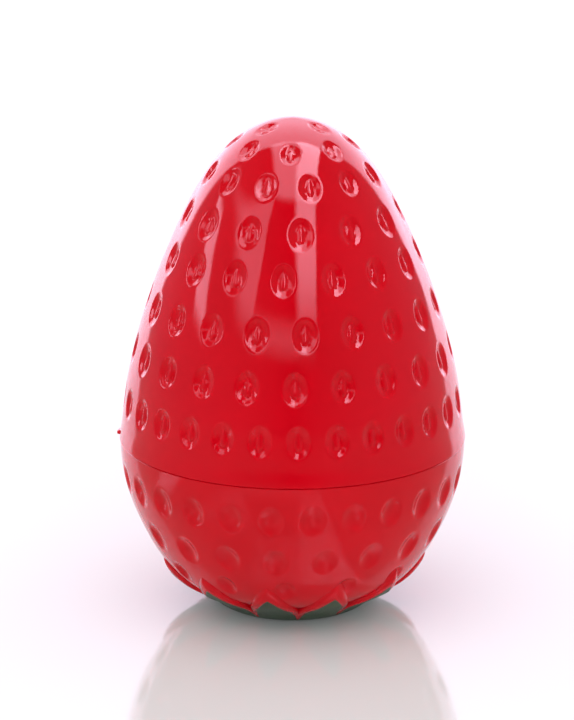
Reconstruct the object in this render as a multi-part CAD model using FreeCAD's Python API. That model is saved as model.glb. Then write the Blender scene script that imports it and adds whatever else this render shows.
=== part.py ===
import FreeCAD, Part
import math
import os

os.makedirs("parts", exist_ok=True)

# Strawberry-shaped egg shaker, standing leaf end down. Millimetres, +Z up.
# Origin: centre of the flat foot. The face with the two front leaves looks along -Y.

V = FreeCAD.Vector

# Overall sizes
total_height = 76.4
max_diameter = 53.0
seam_height = 26.6
foot_diameter = 20.4
wall = 2.0
rim_lean = 7.0

# Seam between the two shells
spigot_height = 3.0
spigot_clearance = 0.05
spigot_lead_in = 0.3
seam_bevel = 0.12
rim_bead_height = 2.4
rim_bead_lift = 0.12
flash_nib_width = 1.5
flash_nib_reach = 0.45
flash_nib_height = 0.5

# Seed pits
pit_length = 5.2
pit_width = 3.85
pit_depth = 0.65
small_pit_scale = 0.82
# for each row: its height as a part of the rise, pits in it, turn of one pit from the front, size factor
dome_pit_rows = [
    (0.137, 28, 2.0, 0.96),
    (0.293, 21, 1.0, 1.0),
    (0.444, 19, 5.0, 1.0),
    (0.596, 16, -4.0, 1.0),
    (0.723, 13, 4.5, 1.0),
    (0.847, 12, -18.0, 0.92),
    (0.932, 8, -2.0, small_pit_scale),
    (0.982, 3, -57.0, small_pit_scale),
]
cup_pit_rows = [
    (0.299, 14, -3.0, small_pit_scale),
    (0.511, 20, -6.0, 1.0),
    (0.792, 26, -7.0, 1.0),
]

# Leaves round the foot: raised red pads with a thin green crown let into them
leaf_count = 12
leaf_turn = -11.0
leaf_lift = 0.65
pad_tip_height = 7.7
pad_valley_height = 2.4
crown_thickness = 0.3
crown_tip_height = 6.3
crown_valley_height = 1.0
stem_recess_radius = 3.5
stem_recess_depth = 0.8

# Loose shot
pellet_diameter = 4.4
pellet_side_gap = 0.35
pellet_rest_gap = 0.3
pellet_rings = 3

max_radius = max_diameter / 2
foot_radius = foot_diameter / 2
lap_radius = max_radius - wall / 2
pellet_pitch = pellet_diameter + pellet_side_gap

# Outlines as (height, radius) in parts of the dome's rise, the cup's rise and the largest radius
dome_points = [(0.0, 1.0), (0.17, 0.960), (0.35, 0.881), (0.53, 0.768), (0.71, 0.622), (0.83, 0.497), (0.93, 0.336)]
cup_points = [(0.058, 0.487), (0.168, 0.662), (0.325, 0.794), (0.520, 0.896), (0.750, 0.973), (1.0, 1.0)]


def curve_through(points, first_way, last_way):
    curve = Part.BSplineCurve()
    curve.interpolate(Points=points, InitialTangent=first_way, FinalTangent=last_way)
    return curve


def shifted(curve, distance, first_way, last_way):
    """The same outline with each of its points moved outward by distance, square to it."""
    if distance == 0:
        return curve
    points = []
    for at in curve.getKnots():
        along = curve.tangent(at)[0]
        points.append(curve.value(at) + V(along.z, 0, -along.x) * distance)
    return curve_through(points, first_way, last_way)


def turned(corners, curve=None):
    """Solid turned about Z from an open curve closed by straight lines through the corners."""
    edges = []
    if curve is not None:
        edges.append(curve.toShape())
    for a, b in zip(corners, corners[1:]):
        edges.append(Part.LineSegment(a, b).toShape())
    return Part.Face(Part.Wire(edges)).revolve(V(0, 0, 0), V(0, 0, 1), 360)


def turned_ring(pairs):
    corners = [V(r, 0, z) for r, z in pairs]
    return turned(corners + [corners[0]])


dome_rise = total_height - seam_height
rim_way = V(-math.sin(math.radians(rim_lean)), 0, math.cos(math.radians(rim_lean)))
cup_rise = seam_height - leaf_lift
dome_curve = curve_through(
    [V(max_radius * r, 0, seam_height + dome_rise * h) for h, r in dome_points] + [V(0, 0, total_height)],
    rim_way, V(-1, 0, 0))
cup_curve = curve_through(
    [V(foot_radius, 0, leaf_lift)] + [V(max_radius * r, 0, leaf_lift + cup_rise * h) for h, r in cup_points],
    V(1, 0, 0), V(0, 0, 1))


def dome(distance):
    """Solid dome above the seam, its outline moved out by distance."""
    curve = shifted(dome_curve, distance, rim_way, V(-1, 0, 0))
    return turned([curve.EndPoint, V(0, 0, seam_height), curve.StartPoint], curve)


def cup(distance):
    """Solid cup below the seam, its outline moved out by distance."""
    curve = shifted(cup_curve, distance, V(1, 0, 0), V(0, 0, 1))
    low = curve.StartPoint.z
    return turned([curve.EndPoint, V(0, 0, seam_height), V(0, 0, low), curve.StartPoint], curve)


def pit_cutter(size):
    """Spindle that cuts an oval dish; x outward, z up along the surface, the surface at x = 0."""
    half_length = size * pit_length / 2
    half_width = size * pit_width / 2
    bend_across = (half_width ** 2 + pit_depth ** 2) / (2 * pit_depth)
    bend_along = (half_length ** 2 + pit_depth ** 2) / (2 * pit_depth)
    axis_x = bend_across - pit_depth
    end_z = math.sqrt(bend_along ** 2 - (bend_along - bend_across) ** 2)
    bowl = Part.Arc(V(axis_x, 0, end_z), V(-pit_depth, 0, 0), V(axis_x, 0, -end_z)).toShape()
    back = Part.LineSegment(V(axis_x, 0, -end_z), V(axis_x, 0, end_z)).toShape()
    return Part.Face(Part.Wire([bowl, back])).revolve(V(axis_x, 0, 0), V(0, 0, 1), 360)


def at_height(curve, height):
    """Curve parameter where a rising outline reaches this height."""
    low = curve.FirstParameter
    high = curve.LastParameter
    for _ in range(40):
        middle = (low + high) / 2
        if curve.value(middle).z < height:
            low = middle
        else:
            high = middle
    return low


def on_surface(shape, curve, height, turn):
    """Copy of shape set square on the outline at this height, turned round from the front."""
    at = at_height(curve, height)
    spot = curve.value(at)
    along = curve.tangent(at)[0]
    out = V(along.z, 0, -along.x)
    side = along.cross(out)
    copy = shape.copy()
    copy.Placement = FreeCAD.Placement(FreeCAD.Matrix(
        out.x, side.x, along.x, spot.x,
        out.y, side.y, along.y, spot.y,
        out.z, side.z, along.z, spot.z,
        0, 0, 0, 1))
    copy.rotate(V(0, 0, 0), V(0, 0, 1), turn - 90)
    return copy


def pits(curve, bottom, rise, rows):
    cutters = []
    for part_of_rise, count, first_turn, size in rows:
        cutter = pit_cutter(size)
        for i in range(count):
            cutters.append(on_surface(cutter, curve, bottom + rise * part_of_rise, first_turn + 360.0 * i / count))
    return cutters


def polar(radius, turn):
    angle = math.radians(turn - 90)
    return V(radius * math.cos(angle), radius * math.sin(angle), -1)


def leaf_prism(tip_height, valley_height):
    """Upright prism whose plan is the ring of leaves, reaching these heights up the raised outline."""
    raised_curve = shifted(cup_curve, leaf_lift, V(1, 0, 0), V(0, 0, 1))
    tip_radius = raised_curve.value(at_height(raised_curve, tip_height)).x
    valley_radius = raised_curve.value(at_height(raised_curve, valley_height)).x
    half = 180.0 / leaf_count
    belly_radius = 0.55 * tip_radius + 0.45 * valley_radius
    edges = []
    for i in range(leaf_count):
        middle = leaf_turn + 2 * half * i
        before = polar(valley_radius, middle - half)
        tip = polar(tip_radius, middle)
        after = polar(valley_radius, middle + half)
        edges.append(Part.Arc(before, polar(belly_radius, middle - 0.60 * half), tip).toShape())
        edges.append(Part.Arc(tip, polar(belly_radius, middle + 0.60 * half), after).toShape())
    return Part.Face(Part.Wire(edges)).extrude(V(0, 0, seam_height))


def save(shape, name):
    shape.exportStep("parts/" + name + ".step")


# Upper shell: domed wall, rebate for the spigot, rim bead and flash nib
upper = dome(0).cut(pits(dome_curve, seam_height, dome_rise, dome_pit_rows)).cut(dome(-wall))
rebate = Part.makeCylinder(lap_radius, spigot_height + spigot_lead_in, V(0, 0, seam_height))
upper = upper.cut(rebate)
bead_radius = max_radius + rim_bead_lift
bead_top = seam_height + rim_bead_height
bead = turned_ring([
    (lap_radius + 0.2, seam_height),
    (max_radius - seam_bevel, seam_height),
    (bead_radius, seam_height + seam_bevel),
    (bead_radius, seam_height + rim_bead_height / 2),
    (max_radius - 0.1, bead_top),
    (lap_radius + 0.2, bead_top),
])
bevel = turned_ring([
    (max_radius - seam_bevel, seam_height),
    (max_radius + 1, seam_height),
    (max_radius + 1, seam_height + seam_bevel + 1),
])
nib = Part.makeBox(1 + flash_nib_reach, flash_nib_width, flash_nib_height)
nib.translate(V(-max_radius - flash_nib_reach, -flash_nib_width / 2, seam_height + seam_bevel))
upper = upper.cut(bevel).fuse([bead, nib]).removeSplitter()

# Lower shell: cup with seed pits, then the leaf pads over them, pocketed for the crown
raised = cup(leaf_lift)
pads = raised.common(leaf_prism(pad_tip_height, pad_valley_height))
lower = cup(0).cut(pits(cup_curve, leaf_lift, cup_rise, cup_pit_rows)).fuse(pads)
crown = raised.cut(cup(leaf_lift - crown_thickness)).common(leaf_prism(crown_tip_height, crown_valley_height))
recess = Part.makeCylinder(stem_recess_radius, stem_recess_depth)
lower = lower.cut([crown, recess, cup(-wall)])
crown = crown.cut(recess)
spigot_radius = lap_radius - spigot_clearance
spigot_top = seam_height + spigot_height
spigot = turned_ring([
    (max_radius - wall, seam_height - wall),
    (spigot_radius, seam_height - wall),
    (spigot_radius, spigot_top - spigot_lead_in),
    (spigot_radius - spigot_lead_in, spigot_top),
    (max_radius - wall, spigot_top),
])
lower_bevel = turned_ring([
    (max_radius - seam_bevel, seam_height),
    (max_radius + 1, seam_height),
    (max_radius + 1, seam_height - seam_bevel - 1),
])
lower = lower.cut(lower_bevel).fuse(spigot).removeSplitter()

save(upper, "upper_shell")
save(lower, "lower_shell")
save(crown, "leaf_crown")

# Shot: one pellet in the middle and rings of six, twelve and so on round it, just clear of the floor
floor_edge = shifted(cup_curve, -wall, V(1, 0, 0), V(0, 0, 1)).toShape()
reach = pellet_diameter / 2 + pellet_rest_gap
number = 0
for ring in range(pellet_rings):
    centre = V(ring * pellet_pitch, 0, leaf_lift + wall + reach)
    while Part.Vertex(centre).distToShape(floor_edge)[0] < reach - 0.001 and centre.z < seam_height:
        centre.z += 0.02
    in_ring = max(1, 6 * ring)
    for i in range(in_ring):
        number += 1
        spot = polar(centre.x, 360.0 * i / in_ring)
        spot.z = centre.z
        save(Part.makeSphere(pellet_diameter / 2, spot), "shot_pellet_%02d" % number)
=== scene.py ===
import math

import bpy
import numpy as np
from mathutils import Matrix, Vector


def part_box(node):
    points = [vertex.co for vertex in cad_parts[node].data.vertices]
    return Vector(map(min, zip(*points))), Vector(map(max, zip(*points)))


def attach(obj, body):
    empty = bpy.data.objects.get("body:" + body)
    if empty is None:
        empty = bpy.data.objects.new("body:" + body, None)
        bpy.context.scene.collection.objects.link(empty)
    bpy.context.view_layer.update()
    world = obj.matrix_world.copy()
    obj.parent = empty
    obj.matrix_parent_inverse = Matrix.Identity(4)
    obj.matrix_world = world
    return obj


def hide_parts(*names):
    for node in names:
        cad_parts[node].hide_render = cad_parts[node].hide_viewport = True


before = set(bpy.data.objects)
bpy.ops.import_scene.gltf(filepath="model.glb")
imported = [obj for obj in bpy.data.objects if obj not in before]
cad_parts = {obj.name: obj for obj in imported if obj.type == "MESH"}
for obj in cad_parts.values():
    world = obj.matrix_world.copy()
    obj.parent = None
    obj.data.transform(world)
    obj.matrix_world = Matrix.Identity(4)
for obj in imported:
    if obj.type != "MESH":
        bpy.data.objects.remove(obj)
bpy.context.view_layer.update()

MM = 0.001

# ---------------------------------------------------------------- sizes, from the CAD frame, metres
upper_low, upper_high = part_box("upper_shell")
seam_height = upper_low.z
top_height = upper_high.z
rim_bead_lift = 0.12 * MM
max_radius = upper_high.y - rim_bead_lift
wall = 2.0 * MM
lap_radius = max_radius - wall / 2
spigot_radius = lap_radius - 0.05 * MM
spigot_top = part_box("lower_shell")[1].z
spigot_lead_in = 0.3 * MM
foot_radius = 10.2 * MM
seam_bevel = 0.12 * MM
rim_flare_height = 3.0 * MM
flash_nib_half_width = 0.75 * MM
flash_nib_reach = 0.45 * MM
flash_nib_middle = 0.45 * MM
flash_nib_half_height = 0.32 * MM

leaf_lift = 0.65 * MM
pad_clearance = 0.04 * MM
pad_thickness = 1.1 * MM
pad_edge_fall = 0.60 * MM
pad_edge_slope = 1.1 * MM
crown_thickness = 0.3 * MM
crown_edge_fall = 0.03 * MM
crown_edge_slope = 0.05 * MM
leaf_count = 12
leaf_turn = -11.0
pad_tip_height = 7.7 * MM
pad_valley_height = 2.4 * MM
crown_tip_height = 6.3 * MM
crown_valley_height = 0.25 * MM
leaf_pointedness = 0.375
stem_recess_radius = 3.5 * MM
stem_recess_depth = 0.8 * MM

pit_length = 5.2 * MM
pit_width = 3.85 * MM
pit_depth = 0.65 * MM
dome_pit_lip = 0.10 * MM
cup_pit_lip = 0.26 * MM
small_pit_scale = 0.82
seed_length = 3.0 * MM
seed_width = 1.2 * MM
seed_rise = 0.36 * MM
seed_part_below_middle = 0.45

# each row of pits: its height as a part of the rise, pits in it, turn of one from the front, size factor
dome_pit_rows = [
    (0.137, 28, 2.0, 0.96),
    (0.293, 21, 1.0, 1.0),
    (0.444, 19, 5.0, 1.0),
    (0.596, 16, -4.0, 1.0),
    (0.723, 13, 4.5, 1.0),
    (0.847, 12, -18.0, 0.92),
    (0.932, 8, -2.0, small_pit_scale),
    (0.982, 3, -57.0, small_pit_scale),
]
cup_pit_rows = [
    (0.299, 14, -3.0, small_pit_scale),
    (0.511, 20, -6.0, 1.0),
    (0.792, 26, -7.0, 1.0),
]

# outlines as (height, radius) in parts of the dome's rise, the cup's rise and the largest radius
dome_points = [
    (0.0, 1.0), (0.17, 0.960), (0.35, 0.881), (0.53, 0.768), (0.71, 0.622), (0.83, 0.497), (0.93, 0.336),
]
cup_points = [(0.058, 0.487), (0.168, 0.662), (0.325, 0.794), (0.520, 0.896), (0.750, 0.973), (1.0, 1.0)]
rim_way = (-0.12, 0.993)

# mesh fineness: points round a ring, rings in a stretch, steps along an outline, and gaps between points
outer_count = 640
foot_count = 160
inner_count = 80
leaf_columns = 40
upper_inner_rows = 66
lower_inner_rows = 40
leaf_rows = 60
outline_steps = 400
closest_points = 0.17 * MM
grid_step = 0.24 * MM
top_gap = 0.3 * MM
inner_top_gap = 0.6 * MM
rim_steps = np.array([0.04, 0.08, 0.12, 0.20, 0.30, 0.42, 0.56]) * MM
flare_steps = np.array([0.72, 0.90, 1.10]) * MM

# how far round its middle a pit is looked for, in parts of its length
pit_reach = 0.8
pit_row_reach = 0.75


# ---------------------------------------------------------------- outlines
class Outline:
    """A smooth curve in the (radius, height) plane, with its length, outward side and offsets."""

    def __init__(self, r, z):
        self.r = np.asarray(r, float)
        self.z = np.asarray(z, float)
        step = np.hypot(np.diff(self.r), np.diff(self.z))
        self.s = np.concatenate([[0.0], np.cumsum(step)])
        along_r = np.gradient(self.r, self.s)
        along_z = np.gradient(self.z, self.s)
        size = np.hypot(along_r, along_z)
        self.along = np.stack([along_r, along_z], 1) / size[:, None]
        self.out = np.stack([self.along[:, 1], -self.along[:, 0]], 1)

    def shifted(self, distance):
        return Outline(self.r + self.out[:, 0] * distance, self.z + self.out[:, 1] * distance)

    def at(self, s):
        """Radius and height at this length along the curve."""
        return np.interp(s, self.s, self.r), np.interp(s, self.s, self.z)

    def side(self, s):
        """The outward way at this length along the curve."""
        out = np.stack([np.interp(s, self.s, self.out[:, 0]), np.interp(s, self.s, self.out[:, 1])], -1)
        return out / np.linalg.norm(out, axis=-1, keepdims=True)

    def length_at_height(self, z):
        return float(np.interp(z, self.z, self.s))

    def height_at_radius(self, r):
        """For a cup outline, whose radius grows with its height."""
        return np.interp(r, self.r, self.z)

    def radius_at_height(self, z):
        return float(np.interp(z, self.z, self.r))


def smooth_outline(points, first_way, last_way):
    """Cubic curve through the points, leaving the first and reaching the last in the ways given."""
    p = np.array(points, float)
    t = np.concatenate([[0.0], np.cumsum(np.hypot(*np.diff(p, axis=0).T))])
    n = len(t)
    h = np.diff(t)
    system = np.zeros((n, n))
    right = np.zeros((n, 2))
    system[0, 0] = 1
    right[0] = first_way
    system[-1, -1] = 1
    right[-1] = last_way
    for i in range(1, n - 1):
        system[i, i - 1] = h[i]
        system[i, i] = 2 * (h[i - 1] + h[i])
        system[i, i + 1] = h[i - 1]
        rise = (p[i + 1] - p[i]) / h[i]
        fall = (p[i] - p[i - 1]) / h[i - 1]
        right[i] = 3 * (h[i] * fall + h[i - 1] * rise)
    slope = np.linalg.solve(system, right)
    rows = []
    for i in range(n - 1):
        u = np.linspace(0, 1, outline_steps, endpoint=(i == n - 2))[:, None]
        rows.append(
            (2 * u**3 - 3 * u**2 + 1) * p[i] + (u**3 - 2 * u**2 + u) * h[i] * slope[i]
            + (-2 * u**3 + 3 * u**2) * p[i + 1] + (u**3 - u**2) * h[i] * slope[i + 1])
    rows = np.concatenate(rows)
    return Outline(rows[:, 0], rows[:, 1])


dome_rise = top_height - seam_height
cup_rise = seam_height - leaf_lift
dome_outline = smooth_outline(
    [(max_radius * r, seam_height + dome_rise * h) for h, r in dome_points] + [(0, top_height)],
    rim_way, (-1, 0))
cup_outline = smooth_outline(
    [(foot_radius, leaf_lift)] + [(max_radius * r, leaf_lift + cup_rise * h) for h, r in cup_points],
    (1, 0), (0, 1))


# ---------------------------------------------------------------- mesh making
def circle_points(radius, height, count):
    """Points round the axis, the first of them at the front."""
    turn = 2 * np.pi * np.arange(count) / count - np.pi / 2
    return np.stack([radius * np.cos(turn), radius * np.sin(turn), np.full(count, height)], 1)


class RingMesh:
    """A closed skin built ring by ring, from one point on the axis to another."""

    def __init__(self):
        self.blocks = []
        self.starts = []
        self.counts = []
        self.total = 0

    def ring(self, points):
        """Adds one ring of points, or one point on the axis."""
        points = np.atleast_2d(points)
        self.starts.append(self.total)
        self.counts.append(len(points))
        self.blocks.append(points)
        self.total += len(points)

    def rings(self, points, counts):
        """Adds ring after ring from one array of points, with this many in each."""
        for block in np.split(points, np.cumsum(counts)[:-1]):
            self.ring(block)

    def faces(self):
        made = []
        for i in range(len(self.counts) - 1):
            a, b = self.starts[i], self.starts[i + 1]
            m, n = self.counts[i], self.counts[i + 1]
            if m == n:
                j = np.arange(m)
                k = (j + 1) % m
                made += np.stack([a + j, a + k, b + k, b + j], 1).tolist()
            else:
                made += self.joined(a, m, b, n)
        return made

    @staticmethod
    def joined(a, m, b, n):
        """Triangles between rings whose counts divide, or between a ring and one point."""
        flip = m < n
        fine, coarse, at_fine, at_coarse = (n, m, b, a) if flip else (m, n, a, b)
        share = fine // coarse
        made = []
        for j in range(fine):
            owner = (j // share) % coarse
            face = [at_fine + j, at_fine + (j + 1) % fine, at_coarse + owner]
            made.append(face[::-1] if flip else face)
            if coarse > 1 and (j + 1) % share == 0:
                face = [at_fine + (j + 1) % fine, at_coarse + (owner + 1) % coarse, at_coarse + owner]
                made.append(face[::-1] if flip else face)
        return made

    def make_object(self, name, body, replaced, material, sharp_angle=40):
        """Turns the rings into a piece that rides on the body and stands for a CAD node."""
        mesh = bpy.data.meshes.new(name)
        mesh.from_pydata(np.concatenate(self.blocks).tolist(), [], self.faces())
        mesh.validate()
        mesh.update()
        mesh.set_sharp_from_angle(angle=math.radians(sharp_angle))
        obj = bpy.data.objects.new(name, mesh)
        bpy.context.scene.collection.objects.link(obj)
        mesh.materials.append(material)
        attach(obj, body)
        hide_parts(replaced)


def smooth_least(a, b, width):
    """The lesser of a and b, with the crease between them rounded over this width."""
    mix = np.clip(0.5 + 0.5 * (b - a) / width, 0, 1)
    return b * (1 - mix) + a * mix - width * mix * (1 - mix)


def pit_floor(across, along, size, seed_rise):
    """Height of the oval dish's surface, less than 0 below the shell, with its teardrop seed."""
    half_length = size * pit_length / 2
    half_width = size * pit_width / 2
    bend_across = (half_width**2 + pit_depth**2) / (2 * pit_depth)
    bend_along = (half_length**2 + pit_depth**2) / (2 * pit_depth)
    swell = np.sqrt(np.maximum(bend_along**2 - along**2, 0))
    radius = np.maximum(bend_across - bend_along + swell, 0)
    dish = bend_across - pit_depth - np.sqrt(np.maximum(radius**2 - across**2, 0))

    # sqrt(x) * (1 - x) is a teardrop's half width, blunt at x = 0, pointed at x = 1 and at most 0.385
    reach = np.clip(along / (size * seed_length) + seed_part_below_middle, 0, 1)
    half = size * seed_width / 2 * np.sqrt(reach) * (1 - reach) / 0.385
    fill = np.clip(1 - (across / np.maximum(half, 1e-6)) ** 2, 0, 1)
    tall = np.clip(half / (size * seed_width / 2), 0, 1)
    return dish + seed_rise * tall**0.7 * np.sqrt(fill)


def press_pits(points, outline, rows, bottom, rise, lip, seed_rise):
    """Moves the skin's points inward where a seed pit lies."""
    for part_of_rise, count, first_turn, size in rows:
        s = outline.length_at_height(bottom + rise * part_of_rise)
        r, z = outline.at(s)
        out_r, out_z = outline.side(s)
        near = np.abs(points[:, 2] - z) < pit_row_reach * size * pit_length
        for i in range(count):
            turn = math.radians(first_turn + 360 * i / count - 90)
            flat = np.array([math.cos(turn), math.sin(turn), 0])
            spot = flat * r + np.array([0, 0, z])
            out = flat * out_r + np.array([0, 0, out_z])
            across_way = np.array([-math.sin(turn), math.cos(turn), 0])
            along_way = np.cross(out, across_way)
            away = points - spot
            close = np.einsum("ij,ij->i", away, away) < (pit_reach * size * pit_length) ** 2
            pick = np.nonzero(near & close)[0]
            away = away[pick]
            level = away @ out
            floor = pit_floor(away @ across_way, away @ along_way, size, seed_rise)
            sunk = smooth_least(level, floor, lip)
            points[pick] += np.outer(np.minimum(sunk - level, 0), out)


def ring_count(radius):
    """Points round a ring, halved toward the top so that they don't come too close together."""
    count = outer_count
    while count > 20 and 2 * math.pi * radius / count < closest_points:
        count //= 2
    return count


# ---------------------------------------------------------------- shells
def rim_offset(above_seam):
    """How far the rim flares out, and the bevel cuts in, at this height above the seam."""
    bevel = -(seam_bevel + rim_bead_lift) * np.clip(1 - above_seam / seam_bevel, 0, 1)
    fade = np.clip(1 - above_seam / rim_flare_height, 0, 1)
    return bevel + rim_bead_lift * fade * fade * (3 - 2 * fade)


def outer_rings(outline, lengths, counts):
    """Points of the outer skin, ring after ring, at these lengths along the outline."""
    return np.concatenate([circle_points(*outline.at(s), count) for s, count in zip(lengths, counts)])


def push_out(points, push):
    """Moves the points away from the axis by these distances."""
    flat = points[:, :2] / np.linalg.norm(points[:, :2], axis=1, keepdims=True)
    points[:, :2] += flat * push[:, None]


def make_upper(material):
    """The dome: from the top of its inside down to the seam, over the rim and up the outside."""
    skin = RingMesh()
    step_top = spigot_top + spigot_lead_in
    inner = dome_outline.shifted(-wall)
    inner_lengths = np.linspace(
        inner.s[-1] - inner_top_gap, inner.length_at_height(step_top + 0.2 * MM), upper_inner_rows)
    skin.ring([[0, 0, inner.at(inner_lengths[0])[1]]])
    for s in inner_lengths:
        skin.ring(circle_points(*inner.at(s), inner_count))
    skin.ring(circle_points(inner.radius_at_height(step_top), step_top, inner_count))
    skin.ring(circle_points(lap_radius, step_top, inner_count))
    skin.ring(circle_points(lap_radius, seam_height, outer_count))
    skin.ring(circle_points(max_radius - seam_bevel, seam_height, outer_count))

    first = flare_steps[-1] + 0.2 * MM
    last = dome_outline.s[-1] - top_gap
    grid = np.linspace(first, last, int((last - first) / grid_step))
    lengths = np.concatenate([rim_steps, flare_steps, grid])
    counts = [ring_count(dome_outline.at(s)[0]) for s in lengths]
    points = outer_rings(dome_outline, lengths, counts)
    turn = np.arctan2(points[:, 0], -points[:, 1])
    up = points[:, 2] - seam_height
    nib_across = (turn + np.pi / 2) * max_radius / flash_nib_half_width
    nib_up = (up - flash_nib_middle) / flash_nib_half_height
    nib = (np.clip(1 - nib_across**4, 0, 1) * np.clip(1 - nib_up**4, 0, 1)) ** 0.5
    push_out(points, rim_offset(up) + flash_nib_reach * nib)
    press_pits(points, dome_outline, dome_pit_rows, seam_height, dome_rise, dome_pit_lip, seed_rise)
    skin.rings(points, counts)
    skin.ring([[0, 0, top_height]])
    skin.make_object("upper_shell_skin", "housing", "upper_shell", material)


def make_lower(material):
    """The cup: from the foot up the outside to the seam, over the spigot and down the inside."""
    skin = RingMesh()
    skin.ring([[0, 0, leaf_lift]])
    for r in np.linspace(0.1, 1.0, 10) * foot_radius:
        skin.ring(circle_points(r, leaf_lift, foot_count))

    first = 0.3 * MM
    last = cup_outline.s[-1] - 0.7 * MM
    grid = np.linspace(first, last, int((last - first) / grid_step))
    lengths = np.concatenate([grid, cup_outline.s[-1] - rim_steps[::-1]])
    counts = [outer_count] * len(lengths)
    points = outer_rings(cup_outline, lengths, counts)
    push_out(points, -seam_bevel * np.clip(1 - (seam_height - points[:, 2]) / seam_bevel, 0, 1))
    press_pits(points, cup_outline, cup_pit_rows, leaf_lift, cup_rise, cup_pit_lip, 0.0)
    skin.rings(points, counts)

    skin.ring(circle_points(max_radius - seam_bevel, seam_height, outer_count))
    skin.ring(circle_points(spigot_radius, seam_height, outer_count))
    skin.ring(circle_points(spigot_radius, spigot_top - spigot_lead_in, inner_count))
    skin.ring(circle_points(spigot_radius - spigot_lead_in, spigot_top, inner_count))
    skin.ring(circle_points(max_radius - wall, spigot_top, inner_count))
    inner = cup_outline.shifted(-wall)
    for s in np.linspace(inner.s[-1], 0, lower_inner_rows):
        skin.ring(circle_points(*inner.at(s), inner_count))
    for r in (0.7, 0.4, 0.15):
        skin.ring(circle_points(r * foot_radius, leaf_lift + wall, inner_count))
    skin.ring([[0, 0, leaf_lift + wall]])
    skin.make_object("lower_shell_skin", "housing", "lower_shell", material)


# ---------------------------------------------------------------- leaves
def leaf_edge(tip_height, valley_height):
    """Plan radius of the leaves' edge at each column, pointed at the tips and full at the sides."""
    raised = cup_outline.shifted(leaf_lift)
    tip = raised.radius_at_height(tip_height)
    valley = raised.radius_at_height(valley_height)
    part = np.arange(leaf_count * leaf_columns) / leaf_columns
    across = np.abs(part - np.round(part)) * 2
    return tip - (tip - valley) * (leaf_pointedness * across + (1 - leaf_pointedness) * across**2)


def star_ring(plan_radius, lift, drop=0.0):
    """Points over the raised cup at this plan radius per column, lowered by drop toward the shell."""
    raised = cup_outline.shifted(lift - drop)
    count = leaf_count * leaf_columns
    plan_radius = np.broadcast_to(plan_radius, (count,))
    height = np.where(plan_radius < foot_radius, raised.z[0], raised.height_at_radius(plan_radius))
    turn = np.radians(leaf_turn - 90) + 2 * np.pi * np.arange(count) / count
    return np.stack([plan_radius * np.cos(turn), plan_radius * np.sin(turn), height], 1)


def star_object(name, edge, lift, thickness, fall, slope, replaced, material):
    """A closed star of leaves over the foot, from its stem recess out to the leaf edges and back under.

    The edge falls toward the shell by fall, over a width of slope.
    """
    star = RingMesh()
    star.ring([[0, 0, stem_recess_depth]])
    star.ring(star_ring(0.5 * stem_recess_radius, 0) * [1, 1, 0] + [0, 0, stem_recess_depth])
    star.ring(star_ring(stem_recess_radius, 0) * [1, 1, 0] + [0, 0, stem_recess_depth])
    for part in np.linspace(0, 1, leaf_rows):
        star.ring(star_ring(stem_recess_radius + part * (edge - slope - stem_recess_radius), lift))
    for angle in np.radians([18, 36, 54, 72, 90]):
        inward = slope * (1 - math.sin(angle))
        star.ring(star_ring(edge - inward, lift, fall * (1 - math.cos(angle))))
    for part in (0.5, 1.0):
        star.ring(star_ring(edge, lift, fall + part * (thickness - fall)))
    innermost = foot_radius * 0.4
    for part in (0.75, 0.4):
        star.ring(star_ring(innermost + part * (edge - innermost), lift, thickness))
    top = star.blocks[-1][:, 2].min() + 0.5 * MM
    star.ring([[0, 0, top]])
    star.make_object(name, "housing", replaced, material, sharp_angle=50)


# ---------------------------------------------------------------- materials
def start_material(name):
    """A new material, with its nodes, links and main shader."""
    material = bpy.data.materials.new(name)
    material.use_nodes = True
    nodes = material.node_tree.nodes
    return material, nodes, material.node_tree.links, nodes["Principled BSDF"]


def noise(nodes, links, scale, detail, stretch=(1, 1, 1)):
    """Noise in the object's own coordinates, with about this many features per metre."""
    where = nodes.new("ShaderNodeTexCoord")
    spread = nodes.new("ShaderNodeMapping")
    spread.inputs["Scale"].default_value = stretch
    made = nodes.new("ShaderNodeTexNoise")
    made.inputs["Scale"].default_value = scale
    made.inputs["Detail"].default_value = detail
    links.new(where.outputs["Object"], spread.inputs["Vector"])
    links.new(spread.outputs["Vector"], made.inputs["Vector"])
    return made


def ramp(nodes, links, source, low, high):
    """Blend between two colours, each given as (position, colour)."""
    made = nodes.new("ShaderNodeValToRGB")
    made.color_ramp.elements[0].position, made.color_ramp.elements[0].color = low
    made.color_ramp.elements[1].position, made.color_ramp.elements[1].color = high
    links.new(source, made.inputs["Fac"])
    return made


def grey(value):
    return (value, value, value, 1)


def bump(nodes, links, height, distance, strength=1.0, under=None):
    made = nodes.new("ShaderNodeBump")
    made.inputs["Distance"].default_value = distance
    made.inputs["Strength"].default_value = strength
    links.new(height, made.inputs["Height"])
    if under is not None:
        links.new(under.outputs["Normal"], made.inputs["Normal"])
    return made


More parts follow.
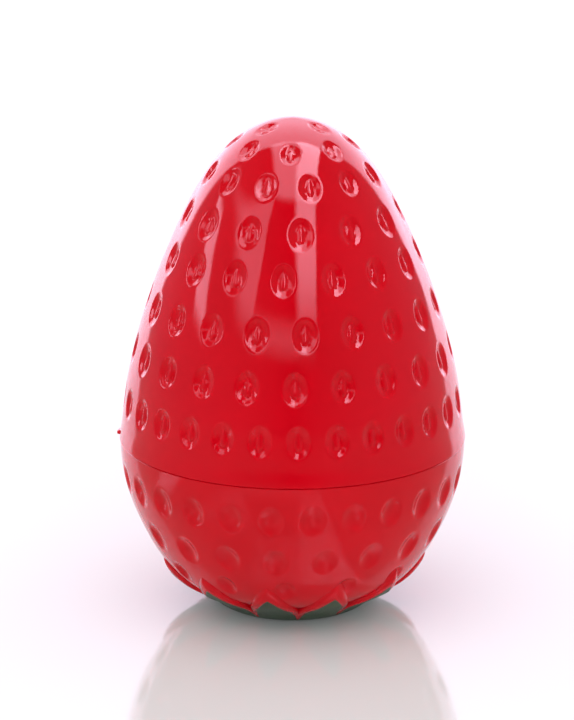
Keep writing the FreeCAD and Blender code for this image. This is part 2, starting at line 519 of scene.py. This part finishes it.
def plastic(name, light, dark, rough_low, rough_high, gloss):
    """Moulded plastic: colour that drifts a little, uneven gloss, soft flow waviness and a fine grain."""
    material, nodes, links, shader = start_material(name)
    drift = noise(nodes, links, 55, 4)
    tint = ramp(nodes, links, drift.outputs["Fac"], (0.35, dark), (0.65, light))
    links.new(tint.outputs["Color"], shader.inputs["Base Color"])
    smudge = noise(nodes, links, 140, 6)
    rough = ramp(nodes, links, smudge.outputs["Fac"], (0.35, grey(rough_low)), (0.7, grey(rough_high)))
    links.new(rough.outputs["Color"], shader.inputs["Roughness"])
    flow = noise(nodes, links, 130, 2, (1, 1, 0.5))
    skin = noise(nodes, links, 1500, 3)
    soft = bump(nodes, links, flow.outputs["Fac"], 0.06 * MM)
    fine = bump(nodes, links, skin.outputs["Fac"], 0.004 * MM, 0.5, soft)
    links.new(fine.outputs["Normal"], shader.inputs["Normal"])
    shader.inputs["IOR"].default_value = 1.45
    shader.inputs["Specular IOR Level"].default_value = gloss
    return material


def steel_material():
    """Ground steel shot: bright metal with tumbling marks."""
    material, nodes, links, shader = start_material("steel_shot_ground")
    cloud = noise(nodes, links, 900, 5)
    dark, light = (0.50, 0.50, 0.52, 1), (0.66, 0.66, 0.67, 1)
    tint = ramp(nodes, links, cloud.outputs["Fac"], (0.3, dark), (0.7, light))
    links.new(tint.outputs["Color"], shader.inputs["Base Color"])
    marks = noise(nodes, links, 2600, 4, (1, 1, 6))
    rough = ramp(nodes, links, marks.outputs["Fac"], (0.3, grey(0.18)), (0.7, grey(0.38)))
    links.new(rough.outputs["Color"], shader.inputs["Roughness"])
    dents = bump(nodes, links, marks.outputs["Fac"], 0.01 * MM)
    links.new(dents.outputs["Normal"], shader.inputs["Normal"])
    shader.inputs["Metallic"].default_value = 1.0
    return material


red = plastic("red_moulded_plastic", (0.522, 0.001, 0.007, 1), (0.475, 0.001, 0.006, 1), 0.04, 0.09, 0.2)
green = plastic("green_leaf_enamel", (0.050, 0.082, 0.042, 1), (0.028, 0.050, 0.026, 1), 0.35, 0.5, 0.4)
steel = steel_material()

# ---------------------------------------------------------------- pieces
make_upper(red)
make_lower(red)
star_object(
    "leaf_pads", leaf_edge(pad_tip_height, pad_valley_height), leaf_lift - pad_clearance,
    pad_thickness, pad_edge_fall, pad_edge_slope, "lower_shell", red)
star_object(
    "leaf_crown_faces", leaf_edge(crown_tip_height, crown_valley_height), leaf_lift,
    crown_thickness, crown_edge_fall, crown_edge_slope, "leaf_crown", green)
for name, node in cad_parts.items():
    if name.startswith("shot_pellet"):
        node.data.materials.clear()
        node.data.materials.append(steel)

# ---------------------------------------------------------------- stage, lights and camera
middle = Vector((0, 0, 37.2 * MM))
camera_elevation = math.radians(17)
camera_distance = 583 * MM
camera_lens = 190.3
camera_shift = (-0.0075, 0.0111)
floor_half_width = 9.0
floor_glow = 0.04
tent_radius = 4.0
tent_rings = 24
tent_columns = 48
tent_colour = (1.0, 0.80, 1.0, 1)
softbox_place = (-0.15, -0.3, 1.1)
softbox_width = 1.0
softbox_watts = 3
world_strength = 1.1


def stage_mesh(name, points, faces, material):
    """A smooth mesh that belongs to the stage and not to the object."""
    mesh = bpy.data.meshes.new(name)
    mesh.from_pydata(points, [], faces)
    mesh.update()
    mesh.shade_smooth()
    mesh.materials.append(material)
    obj = bpy.data.objects.new(name, mesh)
    bpy.context.scene.collection.objects.link(obj)
    return obj


def make_floor():
    """A wide glossy pale sheet, lit faintly from below."""
    material, nodes, links, shader = start_material("pale_acrylic_floor")
    cloud = noise(nodes, links, 6, 3)
    dark, light = (0.580, 0.625, 0.615, 1), (0.600, 0.645, 0.635, 1)
    tint = ramp(nodes, links, cloud.outputs["Fac"], (0.3, dark), (0.7, light))
    links.new(tint.outputs["Color"], shader.inputs["Base Color"])
    shader.inputs["Roughness"].default_value = 0.08
    shader.inputs["IOR"].default_value = 1.5
    shader.inputs["Emission Color"].default_value = (0.98, 1.0, 1.02, 1)
    shader.inputs["Emission Strength"].default_value = floor_glow
    corners = [(-1, -1), (1, -1), (1, 1), (-1, 1)]
    points = [(x * floor_half_width, y * floor_half_width, 0) for x, y in corners]
    stage_mesh("floor_sheet", points, [(0, 1, 2, 3)], material)


class Pattern:
    """Shader nodes that work with the direction from the middle of the stage."""

    def __init__(self, material):
        self.nodes = material.node_tree.nodes
        self.links = material.node_tree.links
        where = self.nodes.new("ShaderNodeTexCoord")
        unit = self.nodes.new("ShaderNodeVectorMath")
        unit.operation = "NORMALIZE"
        self.links.new(where.outputs["Object"], unit.inputs[0])
        split = self.nodes.new("ShaderNodeSeparateXYZ")
        self.links.new(unit.outputs["Vector"], split.inputs["Vector"])
        self.x, self.y, self.z = split.outputs

    def worked_out(self, operation, *values):
        node = self.nodes.new("ShaderNodeMath")
        node.operation = operation
        for socket, value in zip(node.inputs, values):
            if isinstance(value, (int, float)):
                socket.default_value = value
            else:
                self.links.new(value, socket)
        return node.outputs[0]

    def product(self, first, *others):
        made = first
        for other in others:
            made = self.worked_out("MULTIPLY", made, other)
        return made

    def slanted(self, value, slant, along):
        """The value plus slant times along."""
        return self.worked_out("MULTIPLY_ADD", along, slant, value)

    def rise(self, value, start, end):
        """0 before start and 1 past end, or the other way round when end is the lesser."""
        node = self.nodes.new("ShaderNodeMapRange")
        node.interpolation_type = "SMOOTHSTEP"
        node.inputs["From Min"].default_value = min(start, end)
        node.inputs["From Max"].default_value = max(start, end)
        node.inputs["To Min"].default_value = 0 if start < end else 1
        node.inputs["To Max"].default_value = 1 if start < end else 0
        self.links.new(value, node.inputs["Value"])
        return node.outputs["Result"]

    def pane(self, sides, sill, head, strength):
        """A soft-edged pane in front.

        Its sides are (slant, start, end) along x, and its sill and head are (start, end) in z.
        """
        edges = [self.rise(self.z, *sill), self.rise(self.z, *head)]
        edges += [self.rise(self.slanted(self.x, slant, self.z), start, end) for slant, start, end in sides]
        return self.product(*edges, self.rise(self.y, 0.3, 0.2), strength)


def front_panes(pattern):
    """The lit panes that the plastic mirrors: a tall one, its top, a low one, a slanting and a far one."""
    right_edge = (-0.25, 0.225, 0.20)
    far_slant = pattern.slanted(pattern.y, -1.45, pattern.z)
    return [
        pattern.pane([(0, 0.02, 0.12), right_edge], (0.26, 0.60), (1.05, 1.00), 14.0),
        pattern.pane([(0, -0.36, -0.28), right_edge], (0.74, 0.80), (1.05, 1.00), 9.0),
        pattern.pane([(0, -0.56, -0.50), (0, 0.12, 0.04)], (0.28, 0.36), (0.42, 0.34), 3.6),
        pattern.pane(
            [(0.54, -0.57, -0.40), (-0.515, -0.70, -0.72), (-2.44, -2.35, -2.15)],
            (0.30, 0.42), (0.90, 0.82), 5.5),
        pattern.product(
            pattern.rise(far_slant, -0.66, -0.60), pattern.rise(far_slant, -0.32, -0.38),
            pattern.rise(pattern.x, -0.70, -0.80),
            pattern.rise(pattern.z, 0.20, 0.26), pattern.rise(pattern.z, 0.48, 0.42), 11.0),
    ]


def tent_material():
    """Glow by direction: bright behind and above, with lit panes in front and a dim rest."""
    material = bpy.data.materials.new("tent_glow")
    material.use_nodes = True
    pattern = Pattern(material)
    behind = pattern.rise(pattern.slanted(pattern.y, 0.55, pattern.z), 0.70, 0.76)
    side = pattern.worked_out("ABSOLUTE", pattern.x)
    above = pattern.worked_out("SUBTRACT", pattern.z, 0.3)
    fuller = pattern.worked_out("MAXIMUM", pattern.product(side, 0.64), above)
    glow = pattern.product(behind, pattern.worked_out("MULTIPLY_ADD", fuller, 10.0, 1.9))
    for more in front_panes(pattern) + [pattern.product(side, 0.8)]:
        glow = pattern.worked_out("ADD", glow, more)
    emission = pattern.nodes.new("ShaderNodeEmission")
    emission.inputs["Color"].default_value = tent_colour
    pattern.links.new(glow, emission.inputs["Strength"])
    pattern.links.new(emission.outputs["Emission"], pattern.nodes["Material Output"].inputs["Surface"])
    material.cycles.emission_sampling = "NONE"
    return material


def make_tent():
    """A round tent over and under the stage that only glossy skins see."""
    points = []
    for i in range(tent_rings + 1):
        level = math.pi * i / tent_rings
        for j in range(tent_columns):
            turn = 2 * math.pi * j / tent_columns
            across = math.sin(level)
            spot = Vector((across * math.cos(turn), across * math.sin(turn), math.cos(level)))
            points.append(spot * tent_radius)
    faces = []
    for i in range(tent_rings):
        upper, lower = i * tent_columns, (i + 1) * tent_columns
        for j in range(tent_columns):
            k = (j + 1) % tent_columns
            faces.append((upper + j, upper + k, lower + k, lower + j))
    tent = stage_mesh("tent_glow", points, faces, tent_material())
    tent.visible_camera = False
    tent.visible_diffuse = False
    tent.visible_shadow = False
    tent.visible_transmission = False


def aimed(obj, place, target):
    """Puts a light or camera in its place, looking at the target."""
    obj.location = place
    obj.rotation_mode = "QUATERNION"
    obj.rotation_quaternion = (Vector(target) - Vector(place)).to_track_quat("-Z", "Y")
    bpy.context.scene.collection.objects.link(obj)
    return obj


def make_world():
    """Even white light from all round."""
    world = bpy.data.worlds.new("studio")
    bpy.context.scene.world = world
    world.use_nodes = True
    background = world.node_tree.nodes["Background"]
    background.inputs["Color"].default_value = (1.0, 0.985, 1.0, 1)
    background.inputs["Strength"].default_value = world_strength


def overhead_softbox():
    """A weak square light above, which no glossy skin mirrors."""
    light = bpy.data.lights.new("overhead_softbox", "AREA")
    light.shape = "RECTANGLE"
    light.size = softbox_width
    light.size_y = softbox_width
    light.energy = softbox_watts
    light.color = (1.0, 0.98, 1.0)
    softbox = aimed(bpy.data.objects.new("overhead_softbox", light), softbox_place, middle)
    softbox.visible_glossy = False
    softbox.visible_camera = False


def make_camera():
    camera = bpy.data.cameras.new("camera")
    camera.sensor_fit = "VERTICAL"
    camera.sensor_height = 36
    camera.lens = camera_lens
    camera.shift_x, camera.shift_y = camera_shift
    camera.clip_start = 0.02
    camera.clip_end = 30
    back = Vector((0, -math.cos(camera_elevation), math.sin(camera_elevation)))
    place = middle + back * camera_distance
    bpy.context.scene.camera = aimed(bpy.data.objects.new("camera", camera), place, middle)


make_floor()
make_tent()
make_world()
overhead_softbox()
make_camera()
bpy.context.scene.view_settings.view_transform = "Standard"
bpy.context.scene.view_settings.look = "None"
